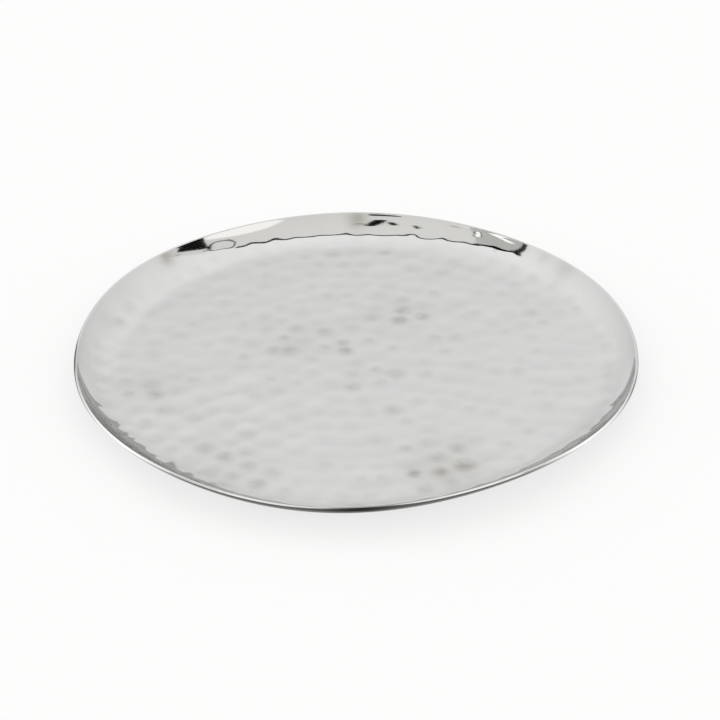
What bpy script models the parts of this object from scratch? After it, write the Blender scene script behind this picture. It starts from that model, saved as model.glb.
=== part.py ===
"""Round hammered serving tray.

A hammered steel dish is folded outwards and down at its edge, round a wire hoop, into a hem. A smooth shell
under it has its own edge tucked into that hem, and four soft pads carry the shell. Lengths are in metres, +Z
is up, and the origin is the middle of the tray on the table.
"""

import math

import bmesh
import bpy

# Driving dimensions
TRAY_DIAMETER = 0.350
WALL_RISE = 0.0120
WALL_SLOPE = math.radians(50)
SHEET = 0.0004
AIR_GAP = 0.0030
CLEARANCE = 0.0003

# Hem of the rim: its thickness, how far it is folded back down the outside, and the wire inside it
HEM_THICKNESS = 0.0021
HEM_DEPTH = 0.0040
WIRE_DIAMETER = 0.0007

# Hammer marks: rings of cells on the flat floor, each sunk in the middle
FLOOR_RINGS = 10
INNERMOST_CELLS = 9
HAMMER_DEPTH = 0.0004

# The rim is beaten by eye, so its height wanders: lobes around the tray, height and angle of a crest
RIM_WAVES = (
    (2, 0.00139, math.radians(-58.5)),
    (3, 0.00049, math.radians(57.3)),
    (4, 0.00078, math.radians(40.3)),
    (5, 0.00090, math.radians(14.2)),
)

# Soft pads under the base
PAD_DIAMETER = 0.0120
PAD_HEIGHT = 0.0018
PAD_EDGE = 0.0004
PAD_CIRCLE = 0.2200
PAD_PLACES = {
    "foot_pad_front_left": math.radians(225),
    "foot_pad_front_right": math.radians(315),
    "foot_pad_back_left": math.radians(135),
    "foot_pad_back_right": math.radians(45),
}

# How finely round forms are divided
SEGMENTS = 72
WALL_STEPS = 6
HEM_STEPS = 8
FOLD_STEPS = 2
WIRE_SIDES = 8
PAD_SEGMENTS = 24
MERGE_DISTANCE = 0.00001
SHARP_ANGLE = math.radians(35)

# Finishes: colour, metallic, roughness
POLISHED_STEEL = ((0.62, 0.62, 0.61), 1.0, 0.12)
SATIN_STEEL = ((0.50, 0.50, 0.49), 1.0, 0.30)
DRAWN_WIRE = ((0.52, 0.52, 0.51), 1.0, 0.38)
CLOUDY_SILICONE = ((0.62, 0.63, 0.62), 0.0, 0.55)

# Heights, built up from the table
shell_bottom = PAD_HEIGHT + CLEARANCE
dish_bottom = shell_bottom + SHEET + AIR_GAP
floor_top = dish_bottom + SHEET

# The rim in section: the wall runs up along the slope and is tangent to the round of the hem
hem_radius = HEM_THICKNESS / 2
hem_r = TRAY_DIAMETER / 2 - hem_radius
hem_z = floor_top + WALL_RISE - hem_radius * math.cos(WALL_SLOPE)
wall_end_r = hem_r - hem_radius * math.sin(WALL_SLOPE)

# The wall is an arc from the level floor to the slope at the rim
wall_radius = WALL_RISE / (1 - math.cos(WALL_SLOPE))
floor_radius = wall_end_r - wall_radius * math.sin(WALL_SLOPE)
wall_polar = WALL_SLOPE - math.pi / 2


def rim_lift(r, angle):
    """Height that the hand-beaten rim adds at a point, easing in from the floor to the hem."""
    t = (r - floor_radius) / (wall_end_r - floor_radius)
    t = min(max(t, 0.0), 1.0)
    ease = t * t * (3 - 2 * t)
    return ease * sum(height * math.cos(lobes * (angle - crest)) for lobes, height, crest in RIM_WAVES)


def arc(centre_r, centre_z, radius, start, end, steps):
    """Points of an arc in the r, z section, from one polar angle to another, both ends included."""
    turns = [start + (end - start) * i / steps for i in range(steps + 1)]
    return [(centre_r + radius * math.cos(a), centre_z + radius * math.sin(a)) for a in turns]


def turn(bm, profile, steps=SEGMENTS):
    """Spin an open r, z profile once round the upright axis."""
    verts = [bm.verts.new((r, 0.0, z)) for r, z in profile]
    edges = [bm.edges.new(pair) for pair in zip(verts, verts[1:])]
    bmesh.ops.spin(bm, geom=verts + edges, cent=(0, 0, 0), axis=(0, 0, 1), angle=math.tau, steps=steps)


def lift_rim(bm):
    """Apply the wandering height of the rim to every point."""
    for vert in bm.verts:
        r = math.hypot(vert.co.x, vert.co.y)
        vert.co.z += rim_lift(r, math.atan2(vert.co.y, vert.co.x))


def finish_material(name, finish):
    """Principled material of one piece."""
    colour, metallic, roughness = finish
    material = bpy.data.materials.new(name)
    material.use_nodes = True
    shader = material.node_tree.nodes["Principled BSDF"]
    shader.inputs["Base Color"].default_value = (*colour, 1.0)
    shader.inputs["Metallic"].default_value = metallic
    shader.inputs["Roughness"].default_value = roughness
    return material


def mesh_from(bm, name, finish):
    """Merge, shade and colour a finished shape."""
    bmesh.ops.remove_doubles(bm, verts=bm.verts, dist=MERGE_DISTANCE)
    mesh = bpy.data.meshes.new(name)
    bm.to_mesh(mesh)
    bm.free()
    mesh.shade_smooth()
    mesh.set_sharp_from_angle(angle=SHARP_ANGLE)
    mesh.materials.append(finish_material(name + "_finish", finish))
    return mesh


def add_piece(mesh, name, tray, location=(0, 0, 0)):
    """Place a piece as a named object of the tray."""
    piece = bpy.data.objects.new(name, mesh)
    bpy.context.collection.objects.link(piece)
    piece.parent = tray
    piece.location = location
    return piece


def thicken(piece):
    """Give a sheet its gauge on the side away from its faces."""
    gauge = piece.modifiers.new("gauge", "SOLIDIFY")
    gauge.thickness = SHEET
    gauge.offset = -1.0
    gauge.use_even_offset = True


def face_sheet(bm, upwards):
    """Turn the faces of an open sheet so that its middle looks up or down."""
    bmesh.ops.remove_doubles(bm, verts=bm.verts, dist=MERGE_DISTANCE)
    bmesh.ops.recalc_face_normals(bm, faces=bm.faces)
    bm.normal_update()
    middle = min(bm.faces, key=lambda face: face.calc_center_median().to_2d().length)
    if (middle.normal.z > 0) != upwards:
        bmesh.ops.reverse_faces(bm, faces=bm.faces)


def cells_around(ring):
    """Hammer cells in a ring: the count doubles each time that the radius does."""
    return INNERMOST_CELLS * 2 ** (ring.bit_length() - 1)


def floor_cells(bm):
    """Flat floor as one middle cell and rings of cells, one cell for each hammer blow."""
    pitch = floor_radius / FLOOR_RINGS
    rows = []
    for ring in range(1, FLOOR_RINGS + 1):
        count = cells_around(ring)
        angles = [math.tau * i / count for i in range(count)]
        r = pitch * ring
        rows.append([bm.verts.new((r * math.cos(a), r * math.sin(a), floor_top)) for a in angles])
    cells = [bm.faces.new(rows[0])]
    for inner, outer in zip(rows, rows[1:]):
        step = len(outer) // len(inner)
        for i in range(len(inner)):
            outside = [outer[(i * step + k) % len(outer)] for k in range(step + 1)]
            cells.append(bm.faces.new([inner[i], *outside, inner[(i + 1) % len(inner)]]))
    return cells


def make_hammered_dish(tray):
    """Hammered floor, curved wall and hem, as one sheet seen from above."""
    bm = bmesh.new()
    cells = floor_cells(bm)
    bm.normal_update()
    bmesh.ops.poke(bm, faces=cells, offset=-HAMMER_DEPTH)
    middle_z = floor_top + wall_radius
    fold_end = wall_polar - HEM_DEPTH / wall_radius
    wall = arc(floor_radius, middle_z, wall_radius, -math.pi / 2, wall_polar, WALL_STEPS)
    hem = arc(hem_r, hem_z, hem_radius, wall_polar + math.pi, wall_polar, HEM_STEPS)
    fold = arc(floor_radius, middle_z, wall_radius + HEM_THICKNESS, wall_polar, fold_end, FOLD_STEPS)
    turn(bm, wall + hem[1:] + fold[1:])
    lift_rim(bm)
    face_sheet(bm, upwards=True)
    dish = add_piece(mesh_from(bm, "hammered_dish", POLISHED_STEEL), "hammered_dish", tray)
    thicken(dish)


def make_base_shell(tray):
    """Smooth under-pan, as the sheet seen from below, with its edge tucked into the hem below the wire."""
    past_wire = WIRE_DIAMETER / 2 + CLEARANCE + SHEET / 6
    edge_r = hem_r - past_wire * math.cos(WALL_SLOPE) + SHEET / 2 * math.sin(WALL_SLOPE)
    edge_z = hem_z - past_wire * math.sin(WALL_SLOPE) - SHEET / 2 * math.cos(WALL_SLOPE)
    radius = (edge_z - shell_bottom) / (1 - math.cos(WALL_SLOPE))
    flat_radius = edge_r - radius * math.sin(WALL_SLOPE)
    wall = arc(flat_radius, shell_bottom + radius, radius, -math.pi / 2, wall_polar, WALL_STEPS)
    bm = bmesh.new()
    turn(bm, [(0.0, shell_bottom), (flat_radius / 2, shell_bottom), *wall])
    lift_rim(bm)
    face_sheet(bm, upwards=False)
    shell = add_piece(mesh_from(bm, "base_shell", SATIN_STEEL), "base_shell", tray)
    thicken(shell)


def make_rim_wire(tray):
    """Steel hoop inside the hem."""
    section = arc(hem_r, hem_z, WIRE_DIAMETER / 2, 0.0, math.tau, WIRE_SIDES)
    bm = bmesh.new()
    turn(bm, section)
    bmesh.ops.remove_doubles(bm, verts=bm.verts, dist=MERGE_DISTANCE)
    lift_rim(bm)
    bmesh.ops.recalc_face_normals(bm, faces=bm.faces)
    add_piece(mesh_from(bm, "rim_wire", DRAWN_WIRE), "rim_wire", tray)


def make_foot_pads(tray):
    """Four pads of one shape, rounded at the edge that meets the table."""
    bm = bmesh.new()
    radius = PAD_DIAMETER / 2
    bmesh.ops.create_cone(bm, cap_ends=True, segments=PAD_SEGMENTS, radius1=radius, radius2=radius,
                          depth=PAD_HEIGHT)
    bmesh.ops.translate(bm, verts=bm.verts, vec=(0, 0, PAD_HEIGHT / 2))
    lower_edge = [e for e in bm.edges if max(v.co.z for v in e.verts) < PAD_HEIGHT / 2]
    bmesh.ops.bevel(bm, geom=lower_edge, offset=PAD_EDGE, segments=2, profile=0.5, affect="EDGES")
    pad = mesh_from(bm, "foot_pad", CLOUDY_SILICONE)
    for name, angle in PAD_PLACES.items():
        place = (PAD_CIRCLE / 2 * math.cos(angle), PAD_CIRCLE / 2 * math.sin(angle), 0)
        add_piece(pad, name, tray, place)


def main():
    for old in list(bpy.data.objects):
        bpy.data.objects.remove(old, do_unlink=True)
    tray = bpy.data.objects.new("serving_tray", None)
    bpy.context.collection.objects.link(tray)
    make_hammered_dish(tray)
    make_base_shell(tray)
    make_rim_wire(tray)
    make_foot_pads(tray)


main()
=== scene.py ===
"""Looks of the round hammered serving tray.

Laid out as a Blender add-on: property groups hold the sizes and colours, one operator makes each piece or
group of like pieces, and a sidebar panel lists the operators. Lengths are in metres, +Z is up.
"""

import math
from functools import reduce
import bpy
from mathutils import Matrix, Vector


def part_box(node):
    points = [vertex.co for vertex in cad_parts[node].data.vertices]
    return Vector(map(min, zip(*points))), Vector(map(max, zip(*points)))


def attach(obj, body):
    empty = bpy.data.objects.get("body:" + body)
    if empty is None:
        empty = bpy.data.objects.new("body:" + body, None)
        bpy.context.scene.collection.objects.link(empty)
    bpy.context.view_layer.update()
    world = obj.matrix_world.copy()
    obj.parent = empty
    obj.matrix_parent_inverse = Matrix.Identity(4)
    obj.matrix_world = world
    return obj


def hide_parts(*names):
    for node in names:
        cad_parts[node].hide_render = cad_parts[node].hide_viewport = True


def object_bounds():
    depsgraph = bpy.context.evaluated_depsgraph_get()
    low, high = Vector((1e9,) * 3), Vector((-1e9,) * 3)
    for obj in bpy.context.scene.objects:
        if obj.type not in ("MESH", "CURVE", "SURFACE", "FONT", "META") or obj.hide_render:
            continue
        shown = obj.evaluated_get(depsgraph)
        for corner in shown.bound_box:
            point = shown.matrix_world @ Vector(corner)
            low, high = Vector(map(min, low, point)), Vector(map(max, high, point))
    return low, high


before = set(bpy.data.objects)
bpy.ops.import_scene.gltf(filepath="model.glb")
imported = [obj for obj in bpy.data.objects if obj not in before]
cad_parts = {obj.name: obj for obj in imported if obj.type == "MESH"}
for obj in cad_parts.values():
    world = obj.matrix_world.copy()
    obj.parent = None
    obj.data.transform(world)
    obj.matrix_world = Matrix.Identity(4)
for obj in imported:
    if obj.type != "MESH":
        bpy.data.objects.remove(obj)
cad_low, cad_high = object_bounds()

from types import SimpleNamespace

import bpy
import numpy as np
from bpy.props import FloatProperty, FloatVectorProperty, IntProperty, IntVectorProperty, PointerProperty
from mathutils import Matrix, Vector

bl_info = {
    "name": "Hammered serving tray",
    "version": (1, 0, 0),
    "blender": (4, 5, 0),
    "location": "View3D > Sidebar > Tray",
    "description": "Builds the looks of a round hammered serving tray around its solids",
    "category": "Object",
}

PAD_NODES = sorted(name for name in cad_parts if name.startswith("foot_pad"))
SHARP_ANGLE = math.radians(40)
SENSOR_WIDTH = 36.0
WHITE = (1.0, 1.0, 1.0, 1.0)

# Rays that see how the floor looks; to all others it is a plain lit surface
SEEING_RAYS = ("Camera", "Glossy", "Transmission")

# Fineness of the dish: points round it, and rows on floor, wall, hem and fold
DISH_COLUMNS = 480
UPPER_ROWS = (100, 34, 18, 6)
UNDER_ROWS = (20, 10, 9, 4)

# Fineness of the base: points round it, and rows on its level part and its wall
BASE_COLUMNS = 360
BASE_ROWS = (24, 20)

# Fineness of a pad, then of the studio's floor, and the radius of that floor's innermost ring
PAD_COLUMNS = 72
PAD_CORNER_ROWS = 9
FLOOR_COLUMNS = 96
FLOOR_ROWS = 12
FLOOR_MIDDLE = 0.1

# Chance in the hammering: bounds of each share that varies, and the fewest blows in a ring
DEPTH_SHARES = (0.2, 1.5)
WIDTH_SHARES = (0.7, 1.3)
CORE_SHARES = (0.75, 1.25)
SWAY_SHARES = (0.7, 1.4)
FEWEST_BLOWS = 5

# A dent's width is this many times steadier than its depth, and a power makes clean hollows commoner
WIDTH_STEADINESS = 3
TARNISH_POWER = 1.5

# Blows gain their full depth on the wall: how far inside the unrolled rim this begins and ends
WALL_BLOWS = (0.055, 0.030)

# Where it was hammered harder or more gently: x, y, reach, and the share added to the usual depth
HAMMERED_PLACES = (
    (-0.092, -0.078, 0.042, 1.6),
    (-0.105, -0.108, 0.014, -1.3),
    (0.046, -0.116, 0.030, 0.8),
    (0.098, 0.135, 0.022, 0.5),
    (-0.097, 0.134, 0.016, -0.7),
    (-0.006, 0.164, 0.010, -0.6),
    (-0.055, 0.156, 0.010, -0.4),
)

# Smudges on the dish: x, y, reach and strength
STAINED_PLACES = (
    (-0.130, -0.028, 0.022, 0.6),
    (0.032, 0.056, 0.030, 0.4),
    (-0.030, 0.026, 0.035, 0.3),
    (0.050, -0.115, 0.027, 0.9),
    (-0.080, -0.112, 0.030, 0.5),
    (0.002, -0.181, 0.022, 1.0),
    (0.0015, 0.1729, 0.0065, 4.5),
    (-0.127, 0.117, 0.0055, 3.6),
    (-0.152, 0.076, 0.008, 0.4),
    (-0.160, 0.044, 0.008, 0.8),
    (0.127, 0.118, 0.005, 1.5),
    (0.139, 0.102, 0.009, 1.6),
)

# Hollows that hold a stain: x, y and strength
STAINED_HOLLOWS = (
    (0.016, 0.054, 0.45),
    (0.032, 0.056, 0.56),
    (0.049, 0.061, 0.46),
    (-0.016, 0.036, 0.62),
    (-0.005, 0.019, 0.62),
    (-0.040, 0.019, 0.45),
    (-0.056, 0.019, 0.50),
    (0.022, -0.012, 0.56),
    (-0.006, -0.025, 0.45),
    (0.020, -0.054, 0.45),
    (0.034, -0.051, 0.45),
    (0.045, -0.110, 0.42),
    (0.063, -0.115, 0.50),
    (0.047, -0.124, 0.34),
    (0.028, -0.127, 0.45),
    (-0.123, -0.043, 0.50),
    (-0.122, -0.027, 0.45),
    (-0.088, -0.095, 0.45),
    (-0.078, -0.121, 0.45),
    (-0.058, -0.132, 0.50),
    (0.122, 0.059, 0.45),
)

# How near to such a place a blow takes the stain, and the share by which a full stain widens its core
STAIN_REACH = 0.010
STAIN_SPREAD = 0.5

# Use has scuffed the floor: how far past its edge, up the wall, this begins to fade and ends
SCUFFED_EDGE = (-0.014, 0.010)

# Where the fold of the hem is painted in deep shade, near black: where, and over what reach
DEEP_SHADE_ON_FOLD = (math.radians(-89.4), math.radians(7))

# The buffing wheel stops where the hem turns down, and below it the fold is painted in shade: upward part of
# the normal at no buffing and at full
BUFFED_AND_LIT_EDGE = (0.48, 0.64)

# That edge, and the painted shade below it, wanders round the tray: where, over what reach, and how far it
# moves up the hem
BUFFED_AND_LIT_STRAYS = (
    (math.radians(-89), math.radians(11), 0.60),
    (math.radians(183), math.radians(10), 0.55),
    (math.radians(-17), math.radians(6), 0.35),
)

# Where a highlight is painted on the hem all the way down, which keeps its polish there: where, and over what
# reach
PAINTED_HIGHLIGHT_PLACES = (
    (math.radians(-146), math.radians(14)),
    (math.radians(-36), math.radians(13)),
)

# A highlight is painted on the front of the hem where it is polished: where, over what reach, and by what
# share
FRONT_PAINTED_HIGHLIGHT = (math.radians(-90), math.radians(50), 0.4)

# Shares that are stored with each point of the dish
DISH_SHARES = ("hollow", "buffed", "bright", "worn", "scuffed")

# Layers of the buffed steel: patterns in patches per metre, the values where they come in, and their shares
BUFFED = SimpleNamespace(
    clouds=22.0, cloud_edge=(0.50, 0.75), cloud_tarnish=0.08, cloud_stain=0.40,
    specks=150.0, speck_edge=(0.30, 0.65), speck_shares=(0.45, 1.15),
    # The last of these is the share of the fold's painted shade colour that is kept where the fold is painted
    # near black
    hollow_tarnish=0.30, hollow_stain=0.8, painted_deep_shade=0.2,
    hollow_dull=0.01, haze_dull=0.03, scratch_dull=0.02,
    haze=140.0, haze_height=0.6, scratch_height=0.15, relief=0.000015,
)

# Buffing strokes cross: stretch of the grain, its turn, and the values where a scratch comes in
STROKES = (
    ((60.0, 2600.0, 900.0), 0.5, (0.62, 0.80)),
    ((2600.0, 60.0, 900.0), 0.2, (0.64, 0.82)),
)

# Layers of the spun base, of the drawn wire and of the silicone, in the same terms
SPUN = SimpleNamespace(
    rings=2400.0, rise=1200.0, ring_edge=(0.3, 0.7), ring_shade=0.10, ring_dull=0.12,
    clouds=30.0, cloud_shade=0.10, cloud_dull=0.06, dull=-0.09, dark=0.8, relief=0.00002,
)
DRAWN = SimpleNamespace(
    grain=3000.0, grain_dull=0.12, dull=0.34, relief=0.00001,
    specks=600.0, speck_edge=(0.55, 0.75), speck_shade=0.5, dark=0.6,
)
MOULDED = SimpleNamespace(
    clouds=260.0, cloud_edge=(0.35, 0.70), milk=1.2, glow=0.25, glow_depth=(0.001, 0.001, 0.001),
    grain=4200.0, grain_dull=0.18, dull=0.42, relief=0.00004,
)

# Panels of the light tent: measures of a direction, and where none and all of the panel shows
TENT_PANELS = {
    "low_back": (("side", 0.55, 0.35), ("y", 0.5, 0.8), ("z", 0.34, 0.06)),
    "low_front": (("y", -0.4, -0.6), ("z", 0.45, 0.35), ("side", 0.75, 0.60)),
    "card": (("x", 0.05, 0.08), ("y", 0.5, 0.8), ("slant", 0.35, 0.33)),
    "softbox": (("y", -0.30, -0.45), ("z", 0.40, 0.50), ("z", 0.78, 0.70)),
    "window": (("side", 0.72, 0.82), ("y", 0.25, 0.10), ("z", 0.50, 0.38)),
}

# What the panels add to the tent's light or take from it, and the slant of the card's edge
BACK_GLOW = 0.15
FRONT_SHADE = 0.6
CARD_SHADE = 0.45
CARD_SLANT = 0.75
SOFTBOX_GLOW = 1.0
WINDOW_GLOW = 0.7

# Light of the tent at the horizon, and what it gains up to the zenith
TENT_LEVEL = 0.812
TENT_RISE = 0.387

# It isn't quite even from left to right: x at both ends of a change, and the factor or the gain there
EVEN_MIDDLE = (-0.12, 0.12, 1.015, 1.05)
EVEN_LEFT = (-0.35, -0.12, 0.045, 0.0)
EVEN_RIGHT = (0.12, 0.35, 0.0, -0.032)

# Directions that rise this far meet the ceiling, from none of it to all, and the least height that counts
OVERHEAD = (0.35, 0.45)
LOWEST_HEIGHT = 0.05

# Its front half is a warmer cloth: its edge, how much light it takes across the tray, and its tone
FRONT_EDGE = (0.01, -0.01)
FRONT_CLOTH = (-0.55, 0.25, 0.105, 0.175)
FRONT_TONE = (1.0, 0.99, 0.96, 1.0)

# The dark seam at that edge, in shares of the ceiling's height: it bends and is wider on the left
SEAM = SimpleNamespace(
    over=0.165, bend_from=-0.65, bend=0.55, half=0.024, soft=0.008, middle=-0.42, ends=(0.83, 0.80),
    widens=(-0.34, -0.42), wider=0.042, narrows=(-0.50, -0.70), narrower=0.036,
)

# A fitting's outline fades out and is full at these shares of its width
OUTLINE_EDGE = (1.4, 0.6)


def fitting(across, over, wide, deep, bright, corner=0.02, soft=0.01, skew=0.0, edge=0.0):
    """Something on the tent's ceiling: middle, half sizes and look, all as shares of the ceiling's height."""
    return SimpleNamespace(across=across, over=over, wide=wide, deep=deep, bright=bright, corner=corner,
                           soft=soft, skew=skew, edge=edge)


# Fittings that the back wall mirrors, from the first laid to the last
CEILING = (
    fitting(-0.79, -0.16, 0.335, 0.33, 0.70, skew=-0.58),
    fitting(-0.93, -0.27, 0.065, 0.17, 1.60, corner=0.05, edge=0.006),
    fitting(-0.45, -0.26, 0.032, 0.13, 1.60, corner=0.03, soft=0.02, skew=-0.77, edge=0.007),
    fitting(0.79, -0.47, 0.33, 0.27, 1.42, corner=0.20, soft=0.03),
    fitting(0.615, 0.03, 0.102, 0.125, 1.00, corner=0.070, skew=0.5, edge=0.012),
    fitting(0.985, -0.115, 0.243, 0.18, 0.01, skew=1.3),
    fitting(1.02, 0.14, 0.05, 0.03, 0.70, corner=0.03, soft=0.03),
    fitting(0.014, -0.33, 0.031, 0.13, 0.00, soft=0.006, skew=-0.30),
    fitting(-0.02, -0.28, 0.024, 0.012, 0.35, corner=0.01),
    fitting(-0.155, -0.31, 0.018, 0.055, 0.00, corner=0.015, soft=0.006),
    fitting(-0.291, -0.255, 0.012, 0.035, 0.02, corner=0.01, skew=0.14),
    fitting(-0.575, -0.45, 0.035, 0.03, 0.60, soft=0.02),
    fitting(-0.18, -0.71, 0.10, 0.055, 0.01),
    fitting(-0.40, -0.73, 0.03, 0.040, 0.20),
)


class TrayForm(bpy.types.PropertyGroup):
    """Sizes that the looks share with the solids"""

    diameter: FloatProperty(
        name="Diameter", description="Across the outside of the rim",
        default=cad_high.x - cad_low.x, unit="LENGTH")
    wall_rise: FloatProperty(
        name="Wall rise", description="From the floor to where the wall meets the hem",
        default=0.0120, unit="LENGTH")
    wall_slope: FloatProperty(
        name="Wall slope", description="Slope of the wall where it meets the hem",
        default=math.radians(50), subtype="ANGLE")
    gauge: FloatProperty(
        name="Gauge", description="Thickness of both sheets", default=0.0004, unit="LENGTH", precision=4)
    air_gap: FloatProperty(
        name="Air gap", description="Between the two sheets at the floor", default=0.0030, unit="LENGTH")
    clearance: FloatProperty(
        name="Clearance", description="Between pieces that are pressed together",
        default=0.0003, unit="LENGTH", precision=4)
    hem_thickness: FloatProperty(
        name="Hem", description="Thickness of the folded rim", default=0.0021, unit="LENGTH", precision=4)
    hem_depth: FloatProperty(
        name="Hem depth", description="How far the fold runs back down the outside", default=0.0040,
        unit="LENGTH")
    wire_diameter: FloatProperty(
        name="Wire", description="Thickness of the hoop in the fold", default=0.0007, unit="LENGTH",
        precision=4)
    pad_height: FloatProperty(
        name="Pad height", description="Height of the soft pads", default=0.0018, unit="LENGTH")
    pad_edge: FloatProperty(
        name="Pad edge", description="Rounding of a pad's lower edge", default=0.0005, unit="LENGTH")
    wave_lobes: IntVectorProperty(
        name="Rim lobes", description="Waves around the rim", size=4, default=(2, 3, 4, 5))
    wave_heights: FloatVectorProperty(
        name="Rim heights", description="Height of each wave of the rim", size=4,
        default=(0.00139, 0.00049, 0.00078, 0.00090), unit="LENGTH", precision=5)
    wave_crests: FloatVectorProperty(
        name="Rim crests", description="Where each wave of the rim has a crest", size=4,
        default=(math.radians(-58.5), math.radians(57.3), math.radians(40.3), math.radians(14.2)),
        unit="ROTATION")


class HammerMarks(bpy.types.PropertyGroup):
    """How the dish was hammered"""

    ring_pitch: FloatProperty(
        name="Ring pitch", description="Between one ring of blows and the next", default=0.0144,
        unit="LENGTH")
    blow_pitch: FloatProperty(
        name="Blow pitch", description="Between blows along a ring", default=0.0165, unit="LENGTH")
    dent_radius: FloatProperty(
        name="Dent radius", description="How far a blow's dent reaches", default=0.0112, unit="LENGTH",
        precision=4)
    depth: FloatProperty(
        name="Depth", description="How deep a usual blow sinks", default=0.00034, unit="LENGTH", precision=5)
    floor_share: FloatProperty(
        name="Floor share", description="Depth of the blows on the floor, as a share of those on the wall",
        default=0.95, subtype="FACTOR")
    core_radius: FloatProperty(
        name="Core radius", description="How far tarnish spreads in a dent", default=0.0072, unit="LENGTH",
        precision=4)
    unevenness: FloatProperty(
        name="Unevenness", description="How much the depth varies, as a share", default=0.40,
        subtype="FACTOR")
    sway: FloatProperty(
        name="Sway", description="Height of the slow waves in the sheet", default=0.00003, unit="LENGTH",
        precision=5)
    sway_length: FloatProperty(
        name="Sway length", description="Length of the slow waves", default=0.045, unit="LENGTH")
    sway_waves: IntProperty(name="Sway waves", description="How many slow waves cross", default=6)
    scatter: FloatProperty(
        name="Scatter", description="How far a blow strays, as a share of the pitch", default=0.10,
        subtype="FACTOR")
    smooth_band: FloatProperty(
        name="Smooth band", description="Height of wall below the rim that is planished smooth",
        default=0.0066, unit="LENGTH")
    fade_band: FloatProperty(
        name="Fade band", description="Length over which the marks die away towards the smooth band",
        default=0.0070, unit="LENGTH")
    seed: IntProperty(name="Seed", description="Another hand's work", default=7)


class TrayFinish(bpy.types.PropertyGroup):
    """Colours and polish"""

    steel: FloatVectorProperty(
        name="Polished steel", description="Colour of the hammered dish", subtype="COLOR", size=3,
        default=(0.62, 0.62, 0.615))
    tarnish: FloatVectorProperty(
        name="Tarnish", description="Colour in the hollows of the dish", subtype="COLOR", size=3,
        default=(0.46, 0.46, 0.455))
    stain: FloatVectorProperty(
        name="Stain", description="Colour of stained hollows in worn places", subtype="COLOR", size=3,
        default=(0.36, 0.345, 0.30))
    # Painted shade: a near-black colour on the hem's fold below the buffing edge, standing in for the
    # shadowed floor that the fold mirrors
    painted_shade_colour: FloatVectorProperty(
        name="Unbuffed steel", description="Colour of the dish where the buffing wheel didn't reach",
        subtype="COLOR", size=3, default=(0.13, 0.13, 0.125))
    # Painted highlight: a near-white colour on the hem, standing in for the white that the hem mirrors
    painted_highlight_colour: FloatVectorProperty(
        name="Burnished steel", description="Colour of the hem where hands have rubbed it bright",
        subtype="COLOR", size=3, default=(0.93, 0.93, 0.92))
    satin: FloatVectorProperty(
        name="Satin steel", description="Colour of the base shell", subtype="COLOR", size=3,
        default=(0.50, 0.50, 0.49))
    wire: FloatVectorProperty(
        name="Wire", description="Colour of the rim wire", subtype="COLOR", size=3,
        default=(0.50, 0.50, 0.49))
    silicone: FloatVectorProperty(
        name="Silicone", description="Colour of the pads", subtype="COLOR", size=3,
        default=(0.62, 0.63, 0.62))
    grazing: FloatVectorProperty(
        name="Grazing steel", description="What is left of a reflection at a grazing angle", subtype="COLOR",
        size=3, default=(0.84, 0.84, 0.84))
    polish: FloatProperty(
        name="Polish", description="Roughness of the hammered dish", default=0.035, subtype="FACTOR")
    scuffing: FloatProperty(
        name="Scuffing", description="Roughness that use has added to the floor of the dish", default=0.18,
        subtype="FACTOR")
    brushing: FloatProperty(
        name="Brushing", description="Roughness of the base shell", default=0.30, subtype="FACTOR")


class Studio(bpy.types.PropertyGroup):
    """Camera, floor and light"""

    distance: FloatProperty(
        name="Distance", description="From the camera to the tray", default=1.5, unit="LENGTH")
    elevation: FloatProperty(
        name="Elevation", description="Height angle of the camera", default=math.radians(31.66),
        subtype="ANGLE")
    roll: FloatProperty(
        name="Roll", description="Turn of the camera about its view", default=math.radians(-0.44),
        subtype="ANGLE")
    lens: FloatProperty(
        name="Lens", description="Focal length in millimetres on a 36 mm sensor", default=120.2)
    aim: FloatVectorProperty(
        name="Aim", description="Point that the camera looks at", size=3,
        default=(0.0024, -0.0011, 0.0083), unit="LENGTH", precision=4)
    floor_colour: FloatVectorProperty(
        name="Floor", description="Colour of the floor", subtype="COLOR", size=3,
        default=(0.84, 0.84, 0.84))
    floor_glow: FloatProperty(
        name="Floor white", description="Share of plain white in what is seen of the floor", default=0.7,
        subtype="FACTOR")
    floor_radius: FloatProperty(
        name="Floor radius", description="How far the floor reaches", default=12.0, unit="LENGTH")
    floor_drop: FloatProperty(
        name="Floor drop", description="Hair's breadth between the pads and the floor", default=0.0001,
        unit="LENGTH", precision=5)


# Shapes


def smooth_step(low, high, value):
    """Zero up to low, one from high, and an S-shaped cubic between them."""
    t = np.clip((value - low) / (high - low), 0.0, 1.0)
    return t * t * (3 - 2 * t)


def tray_section(form):
    """Heights and radii of the tray in section, worked out from its driving sizes."""
    hem_radius = form.hem_thickness / 2
    shell_bottom = form.pad_height + form.clearance
    floor_top = shell_bottom + form.gauge + form.air_gap + form.gauge
    hem_r = form.diameter / 2 - hem_radius
    wall_end_r = hem_r - hem_radius * math.sin(form.wall_slope)
    wall_radius = form.wall_rise / (1 - math.cos(form.wall_slope))
    floor_radius = wall_end_r - wall_radius * math.sin(form.wall_slope)
    return SimpleNamespace(
        hem_radius=hem_radius,
        shell_bottom=shell_bottom,
        floor_top=floor_top,
        hem_r=hem_r,
        hem_z=floor_top + form.wall_rise - hem_radius * math.cos(form.wall_slope),
        wall_end_r=wall_end_r,
        wall_radius=wall_radius,
        floor_radius=floor_radius,
        wall_end=floor_radius + wall_radius * form.wall_slope,
    )


def rim_lift(r, turn, form, section):
    """Height added by the hand-beaten rim: a sum of cosines round the tray, eased in from floor to rim."""
    ease = smooth_step(section.floor_radius, section.wall_end_r, r)
    waves = zip(form.wave_lobes, form.wave_heights, form.wave_crests)
    return ease * sum(height * np.cos(lobes * (turn - crest)) for lobes, height, crest in waves)


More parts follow.
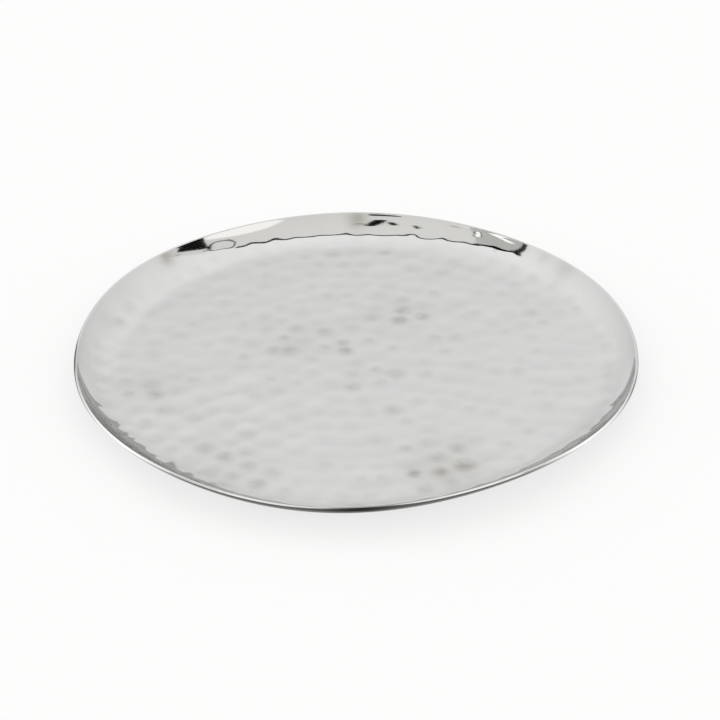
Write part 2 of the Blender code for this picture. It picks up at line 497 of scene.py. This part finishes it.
def level_run(start, end, z, rows):
    """A level stretch of section, from one radius to another: r, z, and the normal's r and z."""
    r = np.linspace(start, end, rows)
    return np.stack([r, np.full_like(r, z), np.zeros_like(r), np.ones_like(r)])


def arc_run(centre_r, centre_z, radius, start, end, rows, side):
    """An arc of section between two polar angles, with normals away from its centre, or towards it."""
    polar = np.linspace(start, end, rows)
    r = centre_r + radius * np.cos(polar)
    z = centre_z + radius * np.sin(polar)
    return np.stack([r, z, side * np.cos(polar), side * np.sin(polar)])


def dish_run(form, section, floor_rows, wall_rows, hem_rows, fold_rows):
    """The dish's upper face in section: floor, wall, the turn of the hem, and the fold back down outside.

    The fold is an arc about the wall's own centre, further out by the thickness of the hem.
    """
    middle_r, middle_z = section.floor_radius, section.floor_top + section.wall_radius
    wall_polar = form.wall_slope - math.pi / 2
    hem_polar = form.wall_slope + math.pi / 2
    fold_turn = form.hem_depth / section.wall_radius
    floor = level_run(section.floor_radius / floor_rows / 2, section.floor_radius, section.floor_top,
                      floor_rows)
    wall = arc_run(middle_r, middle_z, section.wall_radius, -math.pi / 2, wall_polar, wall_rows, -1)
    hem = arc_run(section.hem_r, section.hem_z, section.hem_radius, hem_polar, hem_polar - math.pi,
                  hem_rows, 1)
    fold = arc_run(middle_r, middle_z, section.wall_radius + form.hem_thickness, wall_polar,
                   wall_polar - fold_turn, fold_rows, 1)
    return np.concatenate([floor, wall[:, 1:], hem[:, 1:], fold[:, 1:]], axis=1)


def run_length(run):
    """Length along a section from the tray's axis to each of its points."""
    steps = np.hypot(np.diff(run[0]), np.diff(run[1]))
    return run[0, 0] + np.concatenate([[0.0], np.cumsum(steps)])


def bell(x, y, reach):
    """One in the middle, falling off as the square of the distance grows against the reach."""
    return np.exp(-(x ** 2 + y ** 2) / reach ** 2)


def place_sum(places, x, y):
    """Sum of the bell curves about some places, each with its strength."""
    return sum(strength * bell(x - at_x, y - at_y, reach) for at_x, at_y, reach, strength in places)


def around(turn, where, reach):
    """Bell curve round the tray about one direction."""
    off = np.angle(np.exp(1j * (turn - where)))
    return np.exp(-(off / reach) ** 2)


def sheet_sway(marks, x, y):
    """Slow unevenness of the beaten sheet: a sum of plane waves in chance directions."""
    chance = np.random.default_rng(marks.seed + 1)
    total = 0.0
    for heading in chance.uniform(0.0, math.tau, marks.sway_waves):
        length = marks.sway_length * chance.uniform(*SWAY_SHARES)
        phase = chance.uniform(0.0, math.tau)
        total = total + np.cos(math.tau * (x * math.cos(heading) + y * math.sin(heading)) / length + phase)
    return marks.sway * total


def blow_places(marks, reach, chance):
    """Rings of blows on the unrolled dish, each strayed along its ring and across it: x and y."""
    rings = [np.zeros((1, 2))]
    for ring in range(1, int(reach / marks.ring_pitch) + 1):
        radius = ring * marks.ring_pitch
        count = max(FEWEST_BLOWS, round(math.tau * radius / marks.blow_pitch))
        turn = math.tau * (np.arange(count) + chance.random()) / count
        turn = turn + chance.normal(0, marks.scatter * marks.blow_pitch / radius, count)
        strayed = radius + chance.normal(0, marks.scatter * marks.ring_pitch, count)
        rings.append(np.stack([strayed * np.cos(turn), strayed * np.sin(turn)], axis=1))
    return np.concatenate(rings)


def hammer_blows(marks, reach):
    """The blows on the unrolled dish, varied by chance: x, y, depth, reach, core, tarnish and stain."""
    chance = np.random.default_rng(marks.seed)
    places = blow_places(marks, reach, chance)
    count = len(places)
    uneven = np.clip(1 + chance.normal(0, marks.unevenness, count), *DEPTH_SHARES)
    wide = np.clip(1 + chance.normal(0, marks.unevenness / WIDTH_STEADINESS, count), *WIDTH_SHARES)
    begin, full = (reach - inside for inside in WALL_BLOWS)
    on_wall = smooth_step(begin, full, np.hypot(*places.T))
    share = marks.floor_share + (1 - marks.floor_share) * on_wall
    force = 1 + place_sum(HAMMERED_PLACES, *places.T)
    depth = marks.depth * uneven * wide * force * share
    width = marks.dent_radius * wide
    core = marks.core_radius * chance.uniform(*CORE_SHARES, count)
    tarnish = chance.uniform(0.0, 1.0, count) ** TARNISH_POWER
    spots = [(x, y, STAIN_REACH, strength) for x, y, strength in STAINED_HOLLOWS]
    stain = np.minimum(place_sum(spots, *places.T), 1.0)
    core = core * (1 + STAIN_SPREAD * stain)
    return np.column_stack([places, depth, width, core, np.maximum(tarnish, stain), stain])


def hammer_field(marks, along, turn):
    """Height, tarnish and stain of the hammered face, from all the dents and cores that reach each point.

    A dent is depth * (1 - (distance / reach)^2)^2 and its core is (1 - (distance / core)^2)^2 times its
    tarnish or stain. Dents run into one another as the root of the sum of their squares, and of cores the
    darkest counts. Distances are taken on the unrolled dish, whose polar coordinates are the length along
    the section and the turn. The slow sway of the sheet is added to the height.
    """
    x = along * np.cos(turn)
    y = along * np.sin(turn)
    squares = np.zeros(np.broadcast(along, turn).shape)
    tarnish = np.zeros_like(squares)
    stain = np.zeros_like(squares)
    for blow_x, blow_y, depth, width, core_width, dark, stained in hammer_blows(marks, along.max()):
        rows = np.abs(along[:, 0] - math.hypot(blow_x, blow_y)) < max(width, core_width)
        spread = (x[rows] - blow_x) ** 2 + (y[rows] - blow_y) ** 2
        dent = np.clip(1 - spread / width ** 2, 0.0, 1.0) ** 2
        core = np.clip(1 - spread / core_width ** 2, 0.0, 1.0) ** 2
        squares[rows] += (depth * dent) ** 2
        tarnish[rows] = np.maximum(tarnish[rows], dark * core)
        stain[rows] = np.maximum(stain[rows], stained * core)
    return sheet_sway(marks, x, y) - np.sqrt(squares), tarnish, stain


def turned_points(run, turn, push, form, section):
    """Points of a section turned about the tray's axis, pushed along its normals and lifted at the rim."""
    r0, z0, normal_r, normal_z = (value[:, None] for value in run)
    r = r0 + normal_r * push
    z = z0 + normal_z * push + rim_lift(r0, turn, form, section)
    return np.stack([r * np.cos(turn), r * np.sin(turn), z], axis=-1)


def turned_mesh(name, grid):
    """Closed mesh from rows of points round an axis, with a pole at the first and at the last row.

    Rows run from the upper pole outwards and back to the lower pole, so that faces look outwards.
    """
    rows, columns = grid.shape[:2]
    index = np.arange(rows * columns).reshape(rows, columns)
    beside = np.roll(index, -1, axis=1)
    quads = np.stack([index[:-1], index[1:], beside[1:], beside[:-1]], axis=-1).reshape(-1, 4)
    poles = np.stack([grid[0].mean(axis=0), grid[-1].mean(axis=0)])
    top = np.stack([np.full(columns, index.size), index[0], beside[0]], axis=-1)
    bottom = np.stack([index[-1], np.full(columns, index.size + 1), beside[-1]], axis=-1)
    corners = np.concatenate([quads.ravel(), top.ravel(), bottom.ravel()]).astype(np.int32)
    sides = np.concatenate([np.full(len(quads), 4), np.full(2 * columns, 3)]).astype(np.int32)
    points = np.concatenate([grid.reshape(-1, 3), poles]).astype(np.float32)
    mesh = bpy.data.meshes.new(name)
    mesh.vertices.add(len(points))
    mesh.vertices.foreach_set("co", points.ravel())
    mesh.loops.add(len(corners))
    mesh.loops.foreach_set("vertex_index", corners)
    mesh.polygons.add(len(sides))
    mesh.polygons.foreach_set("loop_start", np.cumsum(sides) - sides)
    mesh.update(calc_edges=True)
    mesh.validate()
    mesh.shade_smooth()
    mesh.set_sharp_from_angle(angle=SHARP_ANGLE)
    return mesh


def add_attribute(mesh, name, grid):
    """Store one number for each point of a turned mesh, with each pole like the row beside it."""
    values = np.concatenate([grid.ravel(), [grid[0].mean(), grid[-1].mean()]]).astype(np.float32)
    mesh.attributes.new(name, "FLOAT", "POINT").data.foreach_set("value", values)


def add_piece(mesh, material, slot, *nodes):
    """Put a finished mesh into the scene as a piece that stands for some solids."""
    mesh.materials.append(material)
    piece = bpy.data.objects.new(mesh.name, mesh)
    bpy.context.scene.collection.objects.link(piece)
    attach(piece, "root")
    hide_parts(*nodes)


# Shader maths


class Signal:
    """One output socket. Arithmetic on it adds Math nodes to its graph."""

    def __init__(self, graph, socket):
        self.graph = graph
        self.socket = socket

    def _math(self, operation, *values):
        return self.graph.node("ShaderNodeMath", {"operation": operation}, dict(enumerate(values)))

    def __add__(self, other):
        return self._math("ADD", self, other)

    def __radd__(self, other):
        return self._math("ADD", other, self)

    def __sub__(self, other):
        return self._math("SUBTRACT", self, other)

    def __rsub__(self, other):
        return self._math("SUBTRACT", other, self)

    def __mul__(self, other):
        return self._math("MULTIPLY", self, other)

    def __rmul__(self, other):
        return self._math("MULTIPLY", other, self)

    def __truediv__(self, other):
        return self._math("DIVIDE", self, other)

    def __rtruediv__(self, other):
        return self._math("DIVIDE", other, self)

    def __pow__(self, other):
        return self._math("POWER", self, other)

    def __abs__(self):
        return self._math("ABSOLUTE", self)

    def at_least(self, other):
        """The higher of this and another."""
        return self._math("MAXIMUM", self, other)


class Graph:
    """A node tree that is written as expressions."""

    def __init__(self, tree):
        self.tree = tree
        tree.nodes.clear()

    def node(self, kind, settings=None, sockets=None, output=0):
        """Add a node of a kind, set it up, feed its sockets with values or signals, and give an output."""
        made = self.tree.nodes.new(kind)
        for name, value in (settings or {}).items():
            setattr(made, name, value)
        for key, value in (sockets or {}).items():
            if isinstance(value, Signal):
                self.tree.links.new(value.socket, made.inputs[key])
            else:
                made.inputs[key].default_value = value
        return Signal(self, made.outputs[output]) if made.outputs else None

    def place(self):
        """Object coordinates of the surface."""
        return self.node("ShaderNodeTexCoord", output="Object")

    def attribute(self, name):
        """A number stored with each point of the piece."""
        return self.node("ShaderNodeAttribute", {"attribute_name": name}, None, "Fac")

    def stretched(self, scale, turn):
        """Object coordinates, turned about the upright axis and stretched, for grain that runs one way."""
        return self.node("ShaderNodeMapping", {"vector_type": "POINT"},
                         {"Vector": self.place(), "Scale": scale, "Rotation": (0.0, 0.0, turn)})

    def noise(self, vector, scale, detail, roughness):
        """Cloudy noise from zero to one."""
        return self.node("ShaderNodeTexNoise", None,
                         {"Vector": vector, "Scale": scale, "Detail": detail, "Roughness": roughness})

    def ease(self, value, low, high, from_value=0.0, to_value=1.0):
        """Smooth change of a value between two thresholds."""
        return self.node("ShaderNodeMapRange", {"interpolation_type": "SMOOTHSTEP"},
                         {"Value": value, "From Min": low, "From Max": high,
                          "To Min": from_value, "To Max": to_value})

    def edge(self, value, none, full):
        """Zero up to one threshold and one past the other, whichever of them is the higher."""
        if none < full:
            return self.ease(value, none, full)
        return self.ease(value, full, none, 1.0, 0.0)

    def mix(self, factor, first, second):
        """Mix of two colours."""
        return self.node("ShaderNodeMix", {"data_type": "RGBA"}, {0: factor, 6: first, 7: second}, 2)

    def parts(self, vector):
        """The x, y and z of a vector."""
        return [self.node("ShaderNodeSeparateXYZ", None, {0: vector}, axis) for axis in range(3)]

    def bump(self, height, distance):
        """Fine relief, as a normal."""
        return self.node("ShaderNodeBump", None, {"Height": height, "Distance": distance})

    def principled(self, **sockets):
        """Principled surface, with its sockets named by their words joined with underscores."""
        named = {key.replace("_", " ").title(): value for key, value in sockets.items()}
        surface = self.node("ShaderNodeBsdfPrincipled", None, named)
        self.node("ShaderNodeOutputMaterial", None, {"Surface": surface})


def new_material(name):
    """An empty material and its graph."""
    material = bpy.data.materials.new(name)
    material.use_nodes = True
    return material, Graph(material.node_tree)


def opaque(colour, share=1.0):
    """A colour with full alpha, darkened or lightened by a share."""
    return (*(min(1.0, share * part) for part in colour), 1.0)


def steel_colour(graph, finish, wear_and_painted_light):
    """Colour of the steel: tarnish and stains on its face, painted shade on the fold, a painted highlight on
    the hem.
    """
    clouds = graph.noise(graph.place(), BUFFED.clouds, detail=4.0, roughness=0.6)
    specks = graph.noise(graph.place(), BUFFED.specks, detail=3.0, roughness=0.6)
    patchy = wear_and_painted_light.hollow * graph.ease(specks, *BUFFED.speck_edge, *BUFFED.speck_shares)
    cloudy = graph.ease(clouds, *BUFFED.cloud_edge)
    tarnish = patchy * BUFFED.hollow_tarnish + cloudy * BUFFED.cloud_tarnish
    clean = graph.mix(tarnish, opaque(finish.steel), opaque(finish.tarnish))
    stain = wear_and_painted_light.worn * (patchy * BUFFED.hollow_stain + clouds * BUFFED.cloud_stain)
    face = graph.mix(stain, clean, opaque(finish.stain))
    # Painted shade on the fold below the buffing edge, darker still where the deep shade is painted at the
    # front
    fold = graph.mix(wear_and_painted_light.worn, opaque(finish.painted_shade_colour), opaque(finish.painted_shade_colour, BUFFED.painted_deep_shade))
    # Painted highlight on the hem where the bright share is set
    return graph.mix(wear_and_painted_light.bright, graph.mix(wear_and_painted_light.buffed, fold, face), opaque(finish.painted_highlight_colour))


def buffing_scratches(graph):
    """Fine scratches of crossing strokes: stretched grains, kept only where they are strong."""
    scratches = 0.0
    for stretch, turn, strong in STROKES:
        grain = graph.noise(graph.stretched(stretch, turn), 1.0, detail=2.0, roughness=0.6)
        scratches = scratches + graph.ease(grain, *strong)
    return scratches


def polished_steel(finish):
    """Hammered, buffed steel: hazy and scratched, duller on the scuffed floor, satin where buffing ends."""
    material, graph = new_material("polished_hammered_steel")
    wear_and_painted_light = SimpleNamespace(**{name: graph.attribute(name) for name in DISH_SHARES})
    haze = graph.noise(graph.place(), BUFFED.haze, detail=3.0, roughness=0.6)
    scratch = buffing_scratches(graph)
    polish = finish.polish + wear_and_painted_light.scuffed * finish.scuffing + wear_and_painted_light.hollow * BUFFED.hollow_dull
    polish = polish + haze * BUFFED.haze_dull + scratch * BUFFED.scratch_dull
    rubbed = wear_and_painted_light.buffed.at_least(wear_and_painted_light.bright)
    relief = haze * BUFFED.haze_height + scratch * BUFFED.scratch_height
    graph.principled(
        base_color=steel_colour(graph, finish, wear_and_painted_light),
        metallic=1.0,
        roughness=polish * rubbed + (1 - rubbed) * finish.brushing,
        specular_tint=opaque(finish.grazing),
        normal=graph.bump(relief, BUFFED.relief))
    return material


def satin_steel(finish):
    """Spun steel: fine rings about the tray's axis over a soft sheen."""
    material, graph = new_material("satin_spun_steel")
    x, y, z = graph.parts(graph.place())
    radius = (x * x + y * y) ** 0.5
    ring_place = graph.node("ShaderNodeCombineXYZ", None, {0: radius * SPUN.rings, 1: z * SPUN.rise, 2: 0.0})
    rings = graph.noise(ring_place, 1.0, detail=3.0, roughness=0.7)
    clouds = graph.noise(graph.place(), SPUN.clouds, detail=3.0, roughness=0.55)
    shade = graph.ease(rings, *SPUN.ring_edge) * SPUN.ring_shade + clouds * SPUN.cloud_shade
    graph.principled(
        base_color=graph.mix(shade, opaque(finish.satin), opaque(finish.satin, SPUN.dark)),
        metallic=1.0,
        roughness=finish.brushing + rings * SPUN.ring_dull + clouds * SPUN.cloud_dull + SPUN.dull,
        normal=graph.bump(rings, SPUN.relief))
    return material


def drawn_wire(finish):
    """Drawn wire: dull steel with a fine grain and a few dark specks."""
    material, graph = new_material("drawn_steel_wire")
    grain = graph.noise(graph.place(), DRAWN.grain, detail=2.0, roughness=0.6)
    specks = graph.noise(graph.place(), DRAWN.specks, detail=2.0, roughness=0.5)
    shade = graph.ease(specks, *DRAWN.speck_edge) * DRAWN.speck_shade
    graph.principled(
        base_color=graph.mix(shade, opaque(finish.wire), opaque(finish.wire, DRAWN.dark)),
        metallic=1.0,
        roughness=DRAWN.dull + grain * DRAWN.grain_dull,
        normal=graph.bump(grain, DRAWN.relief))
    return material


def cloudy_silicone(finish):
    """Moulded silicone: cloudy, softly glossy, with a fine spark-eroded grain."""
    material, graph = new_material("cloudy_silicone")
    clouds = graph.noise(graph.place(), MOULDED.clouds, detail=3.0, roughness=0.55)
    grain = graph.noise(graph.place(), MOULDED.grain, detail=2.0, roughness=0.6)
    milky = graph.ease(clouds, *MOULDED.cloud_edge)
    graph.principled(
        base_color=graph.mix(milky, opaque(finish.silicone), opaque(finish.silicone, MOULDED.milk)),
        roughness=MOULDED.dull + grain * MOULDED.grain_dull,
        subsurface_weight=MOULDED.glow,
        subsurface_radius=MOULDED.glow_depth,
        normal=graph.bump(grain, MOULDED.relief))
    return material


# Pieces


def dish_wear_and_painted_light(section, along, turn, upward, spots, seen):
    """How the dish is polished, stained, scuffed and painted with shade and highlight on its hem, as shares
    by name.

    Each is a smooth step or a bell curve of the place on the unrolled dish, or of how far its face looks up.
    Only the face that is seen gets polished and stained, and gets the deep shade painted on its fold.
    """
    on_hem = smooth_step(section.wall_end, section.wall_end + section.hem_radius, along)
    # Polished where the face looks up; where it turns down, the fold is satin and its colour is painted shade
    stray = sum(move * around(turn, where, reach) for where, reach, move in BUFFED_AND_LIT_STRAYS)
    buffed = smooth_step(*BUFFED_AND_LIT_EDGE, upward - stray * on_hem) * seen
    painted_highlight = sum(around(turn, where, reach) for where, reach in PAINTED_HIGHLIGHT_PLACES)
    front, front_reach, front_share = FRONT_PAINTED_HIGHLIGHT
    front_highlight = front_share * around(turn, front, front_reach)
    stain = spots + place_sum(STAINED_PLACES, along * np.cos(turn), along * np.sin(turn))
    # Deep shade, near black, painted on the front of the fold
    painted_deep_shade = around(turn, *DEEP_SHADE_ON_FOLD)
    return {
        "buffed": buffed,
        # Painted highlight on the hem, at the listed places and at the polished front
        "bright": np.maximum(painted_highlight, front_highlight * buffed) * on_hem,
        # Real stains on the face, and on the hem's fold the painted deep shade
        "worn": (stain * (1 - on_hem) + painted_deep_shade * on_hem) * seen,
        "scuffed": 1 - smooth_step(*SCUFFED_EDGE, along - section.floor_radius) + 0 * turn,
    }


def dish_face(scene, rows, sunk):
    """One face of the hammered sheet, from its middle outwards: points, and the shares of its finish.

    The section is turned about the axis and pushed along its normals by the hammered height, less the depth
    at which the face lies in the sheet. The marks die away below the rim.
    """
    form, marks = scene.tray_form, scene.tray_hammer
    section = tray_section(form)
    turn = np.linspace(0.0, math.tau, DISH_COLUMNS, endpoint=False)[None, :]
    run = dish_run(form, section, *rows)
    along = run_length(run)[:, None]
    smooth_from = section.wall_end - marks.smooth_band
    fade = 1 - smooth_step(smooth_from - marks.fade_band, smooth_from, along)
    height, tarnish, spots = (field * fade for field in hammer_field(marks, along, turn))
    shares = dish_wear_and_painted_light(section, along, turn, run[3][:, None], spots, seen=(sunk == 0))
    shares["hollow"] = tarnish
    return turned_points(run, turn, height - sunk, form, section), shares


def make_dish(scene):
    """The hammered sheet: upper face and hem in fine rows, then the hidden underside in coarser rows."""
    upper, upper_shares = dish_face(scene, UPPER_ROWS, 0.0)
    under, under_shares = dish_face(scene, UNDER_ROWS, scene.tray_form.gauge)
    mesh = turned_mesh("tray_dish", np.concatenate([upper, under[::-1]]))
    for name in DISH_SHARES:
        add_attribute(mesh, name, np.concatenate([upper_shares[name], under_shares[name][::-1]]))
    return mesh


def make_base(scene):
    """The smooth under-pan: inner face from its middle to the edge tucked in past the wire, then outer face.

    Its section is a level stretch and an arc up to the slope of the wall, turned about the tray's axis.
    """
    form = scene.tray_form
    section = tray_section(form)
    level_rows, wall_rows = BASE_ROWS
    past_wire = form.wire_diameter / 2 + form.clearance + form.gauge / 6
    cos_slope, sin_slope = math.cos(form.wall_slope), math.sin(form.wall_slope)
    edge_r = section.hem_r - past_wire * cos_slope + form.gauge / 2 * sin_slope
    edge_z = section.hem_z - past_wire * sin_slope - form.gauge / 2 * cos_slope
    radius = (edge_z - section.shell_bottom) / (1 - cos_slope)
    flat = edge_r - radius * sin_slope
    level = level_run(flat / level_rows, flat, section.shell_bottom, level_rows)
    wall = arc_run(flat, section.shell_bottom + radius, radius, -math.pi / 2,
                   form.wall_slope - math.pi / 2, wall_rows, -1)
    outer = np.concatenate([level, wall[:, 1:]], axis=1)
    turn = np.linspace(0.0, math.tau, BASE_COLUMNS, endpoint=False)[None, :]
    inside = turned_points(outer, turn, form.gauge, form, section)
    outside = turned_points(outer[:, ::-1], turn, 0.0, form, section)
    return turned_mesh("tray_base", np.concatenate([inside, outside]))


def make_pad(scene, node):
    """One pad: a disc with a rounded lower edge, on a thin film that reaches up to the base.

    Its section runs from the top of the film out and down to the middle below, turned about the pad's axis.
    Both flat faces have a ring of points part of the way in.
    """
    form = scene.tray_form
    low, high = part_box(node)
    middle = (low + high) / 2
    radius = (high.x - low.x) / 2
    top, edge = form.pad_height, form.pad_edge
    chamfer = edge / 4
    film = radius - edge
    film_top = top + form.clearance
    corner = np.linspace(0.0, math.pi / 2, PAD_CORNER_ROWS)
    upper_r = [film / 3, film, film, radius - chamfer, radius]
    upper_z = [film_top, film_top, top, top, top - chamfer]
    r = np.concatenate([upper_r, film + edge * np.cos(corner), [film / 2]])[:, None]
    z = np.concatenate([upper_z, edge - edge * np.sin(corner), [0.0]])[:, None]
    turn = np.linspace(0.0, math.tau, PAD_COLUMNS, endpoint=False)[None, :]
    points = [middle.x + r * np.cos(turn), middle.y + r * np.sin(turn), z + 0 * turn]
    return turned_mesh(node.replace("foot", "tray"), np.stack(points, axis=-1))


class TRAY_OT_dish(bpy.types.Operator):
    """Make the hammered dish with its folded hem"""

    bl_idname = "tray.dish"
    bl_label = "Hammered dish"

    def execute(self, context):
        scene = context.scene
        add_piece(make_dish(scene), polished_steel(scene.tray_finish), "polished_steel", "hammered_dish")
        return {"FINISHED"}


class TRAY_OT_base(bpy.types.Operator):
    """Make the smooth shell under the dish"""

    bl_idname = "tray.base"
    bl_label = "Base shell"

    def execute(self, context):
        scene = context.scene
        add_piece(make_base(scene), satin_steel(scene.tray_finish), "satin_steel", "base_shell")
        return {"FINISHED"}


class TRAY_OT_wire(bpy.types.Operator):
    """Give the hoop in the rim its drawn finish"""

    bl_idname = "tray.wire"
    bl_label = "Rim wire"

    def execute(self, context):
        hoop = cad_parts["rim_wire"]
        hoop.data.materials.clear()
        hoop.data.materials.append(drawn_wire(context.scene.tray_finish))
        return {"FINISHED"}


class TRAY_OT_pads(bpy.types.Operator):
    """Make the soft pads under the base"""

    bl_idname = "tray.pads"
    bl_label = "Foot pads"

    def execute(self, context):
        scene = context.scene
        silicone = cloudy_silicone(scene.tray_finish)
        for node in PAD_NODES:
            add_piece(make_pad(scene, node), silicone, "silicone", node)
        return {"FINISHED"}


# Stage


def pale_floor(studio):
    """Floor from above, and clear from below: to the rays that see it, mostly plain white."""
    material, graph = new_material("pale_floor")
    top_side = graph.node("ShaderNodeBsdfDiffuse", None, {"Color": opaque(studio.floor_colour)})
    clear = graph.node("ShaderNodeBsdfTransparent")
    white = graph.node("ShaderNodeEmission", None, {"Color": WHITE, "Strength": 1.0})
    rays = [graph.node("ShaderNodeLightPath", output=f"Is {kind} Ray") for kind in SEEING_RAYS]
    seen = reduce(Signal.at_least, rays)
    lit = graph.node("ShaderNodeMixShader", None, {0: seen * studio.floor_glow, 1: top_side, 2: white})
    underneath = graph.node("ShaderNodeNewGeometry", output="Backfacing")
    surface = graph.node("ShaderNodeMixShader", None, {0: underneath, 1: lit, 2: clear})
    graph.node("ShaderNodeOutputMaterial", None, {"Surface": surface})
    return material


def make_floor(studio):
    """A wide level disc: rings of points about the origin, further apart the further out."""
    turn = np.linspace(0.0, math.tau, FLOOR_COLUMNS, endpoint=False)[None, :]
    ring = np.geomspace(FLOOR_MIDDLE, studio.floor_radius, FLOOR_ROWS)[:, None]
    level = np.full_like(ring * turn, -studio.floor_drop)
    points = np.stack([ring * np.cos(turn), ring * np.sin(turn), level], axis=-1)
    index = np.arange(level.size).reshape(level.shape)
    beside = np.roll(index, -1, axis=1)
    faces = np.stack([index[:-1], index[1:], beside[1:], beside[:-1]], axis=-1).reshape(-1, 4).tolist()
    mesh = bpy.data.meshes.new("studio_floor")
    mesh.from_pydata(points.reshape(-1, 3).tolist(), [], [*faces, index[0].tolist()])
    mesh.materials.append(pale_floor(studio))
    floor = bpy.data.objects.new("studio_floor", mesh)
    bpy.context.scene.collection.objects.link(floor)


def panel_share(graph, measures, edges):
    """How much of a panel shows in a direction: the product of its soft edges."""
    return math.prod(graph.edge(measures[name], none, full) for name, none, full in edges)


def lay_fitting(graph, level, item, across, over, shown):
    """The tent's light with one fitting laid on it: a skewed box with round corners, perhaps outlined.

    Distance outside the box is the length of what lies beyond its side and its end, less the corner.
    """
    beyond_side = (abs(across + over * item.skew - item.across) - item.wide + item.corner).at_least(0.0)
    beyond_end = (abs(over - item.over) - item.deep + item.corner).at_least(0.0)
    outside = (beyond_side * beyond_side + beyond_end * beyond_end) ** 0.5 - item.corner
    within = graph.edge(outside, item.soft, -item.soft) * shown
    level = level * (1 - within) + within * item.bright
    if item.edge:
        outline = graph.edge(abs(outside), *(share * item.edge for share in OUTLINE_EDGE))
        level = level * (1 - outline * shown)
    return level


def lay_seam(graph, level, across, from_seam, overhead):
    """The tent's light with the dark seam laid on it: a line that is wider for a stretch, and ends."""
    wider = graph.edge(across, *SEAM.widens) * SEAM.wider
    narrower = graph.edge(across, *SEAM.narrows) * SEAM.narrower
    seam = graph.edge(abs(from_seam) - (SEAM.half + wider - narrower), SEAM.soft, -SEAM.soft)
    reaches = graph.edge(abs(across - SEAM.middle), *SEAM.ends)
    return level * (1 - seam * reaches * overhead)


def make_tent(scene):
    """Soft light tent: panels all round, a cool back half and a warm front half, a seam, and fittings.

    Places on its ceiling are x and y of a direction as shares of its height.
    """
    world = bpy.data.worlds.new("light_tent")
    world.use_nodes = True
    scene.world = world
    graph = Graph(world.node_tree)
    x, y, z = graph.parts(graph.node("ShaderNodeTexCoord", output="Generated"))
    measures = {"x": x, "y": y, "z": z, "side": abs(x), "slant": z + x * CARD_SLANT}
    panel = {name: panel_share(graph, measures, edges) for name, edges in TENT_PANELS.items()}
    height = z.at_least(LOWEST_HEIGHT)
    across, over = x / height, y / height
    overhead = graph.ease(z, *OVERHEAD)
    from_seam = over - (SEAM.over - (SEAM.bend_from - across).at_least(0.0) * SEAM.bend)
    front = graph.edge(from_seam, *FRONT_EDGE) * overhead
    sides = graph.ease(x, *EVEN_LEFT) + graph.ease(x, *EVEN_RIGHT)
    even = graph.ease(x, *EVEN_MIDDLE) * (1 + sides * (1 - front))
    level = (TENT_LEVEL + z * TENT_RISE) * even * (1 + panel["low_back"] * BACK_GLOW)
    level = level * (1 - front * graph.ease(across, *FRONT_CLOTH))
    level = level * (1 - panel["low_front"] * FRONT_SHADE) * (1 - panel["card"] * CARD_SHADE)
    level = level + panel["softbox"] * SOFTBOX_GLOW + panel["window"] * WINDOW_GLOW
    for item in CEILING:
        level = lay_fitting(graph, level, item, across, over, front)
    level = lay_seam(graph, level, across, from_seam, overhead)
    tone = graph.mix(front, WHITE, FRONT_TONE)
    background = graph.node("ShaderNodeBackground", None, {"Color": tone, "Strength": level})
    graph.node("ShaderNodeOutputWorld", None, {"Surface": background})


def make_camera(scene, studio):
    """Camera on the photograph's side, turned down by its elevation and rolled a little."""
    data = bpy.data.cameras.new("studio_camera")
    data.sensor_width = SENSOR_WIDTH
    data.lens = studio.lens
    camera = bpy.data.objects.new("studio_camera", data)
    scene.collection.objects.link(camera)
    back = Vector((0.0, -math.cos(studio.elevation), math.sin(studio.elevation)))
    turn = back.to_track_quat("Z", "Y").to_matrix().to_4x4()
    place = Matrix.Translation(Vector(studio.aim) + back * studio.distance)
    camera.matrix_world = place @ turn @ Matrix.Rotation(studio.roll, 4, "Z")
    scene.camera = camera


class TRAY_OT_stage(bpy.types.Operator):
    """Make the floor, the light tent and the camera"""

    bl_idname = "tray.stage"
    bl_label = "Stage"

    def execute(self, context):
        scene = context.scene
        make_floor(scene.tray_studio)
        make_tent(scene)
        make_camera(scene, scene.tray_studio)
        scene.view_settings.view_transform = "Standard"
        return {"FINISHED"}


class TRAY_PT_panel(bpy.types.Panel):
    """Lists the operators of the tray in the sidebar"""

    bl_label = "Hammered tray"
    bl_idname = "TRAY_PT_panel"
    bl_space_type = "VIEW_3D"
    bl_region_type = "UI"
    bl_category = "Tray"

    def draw(self, context):
        for operator in OPERATORS:
            self.layout.operator(operator.bl_idname)


GROUPS = {
    "tray_form": TrayForm,
    "tray_hammer": HammerMarks,
    "tray_finish": TrayFinish,
    "tray_studio": Studio,
}
OPERATORS = (TRAY_OT_dish, TRAY_OT_base, TRAY_OT_wire, TRAY_OT_pads, TRAY_OT_stage)


def register():
    for made in (*GROUPS.values(), *OPERATORS, TRAY_PT_panel):
        bpy.utils.register_class(made)
    for name, group in GROUPS.items():
        setattr(bpy.types.Scene, name, PointerProperty(type=group))


def unregister():
    for name in GROUPS:
        delattr(bpy.types.Scene, name)
    for made in (TRAY_PT_panel, *reversed(OPERATORS), *reversed(GROUPS.values())):
        bpy.utils.unregister_class(made)


def main():
    register()
    bpy.ops.tray.dish()
    bpy.ops.tray.base()
    bpy.ops.tray.wire()
    bpy.ops.tray.pads()
    bpy.ops.tray.stage()


if __name__ == "__main__":
    main()
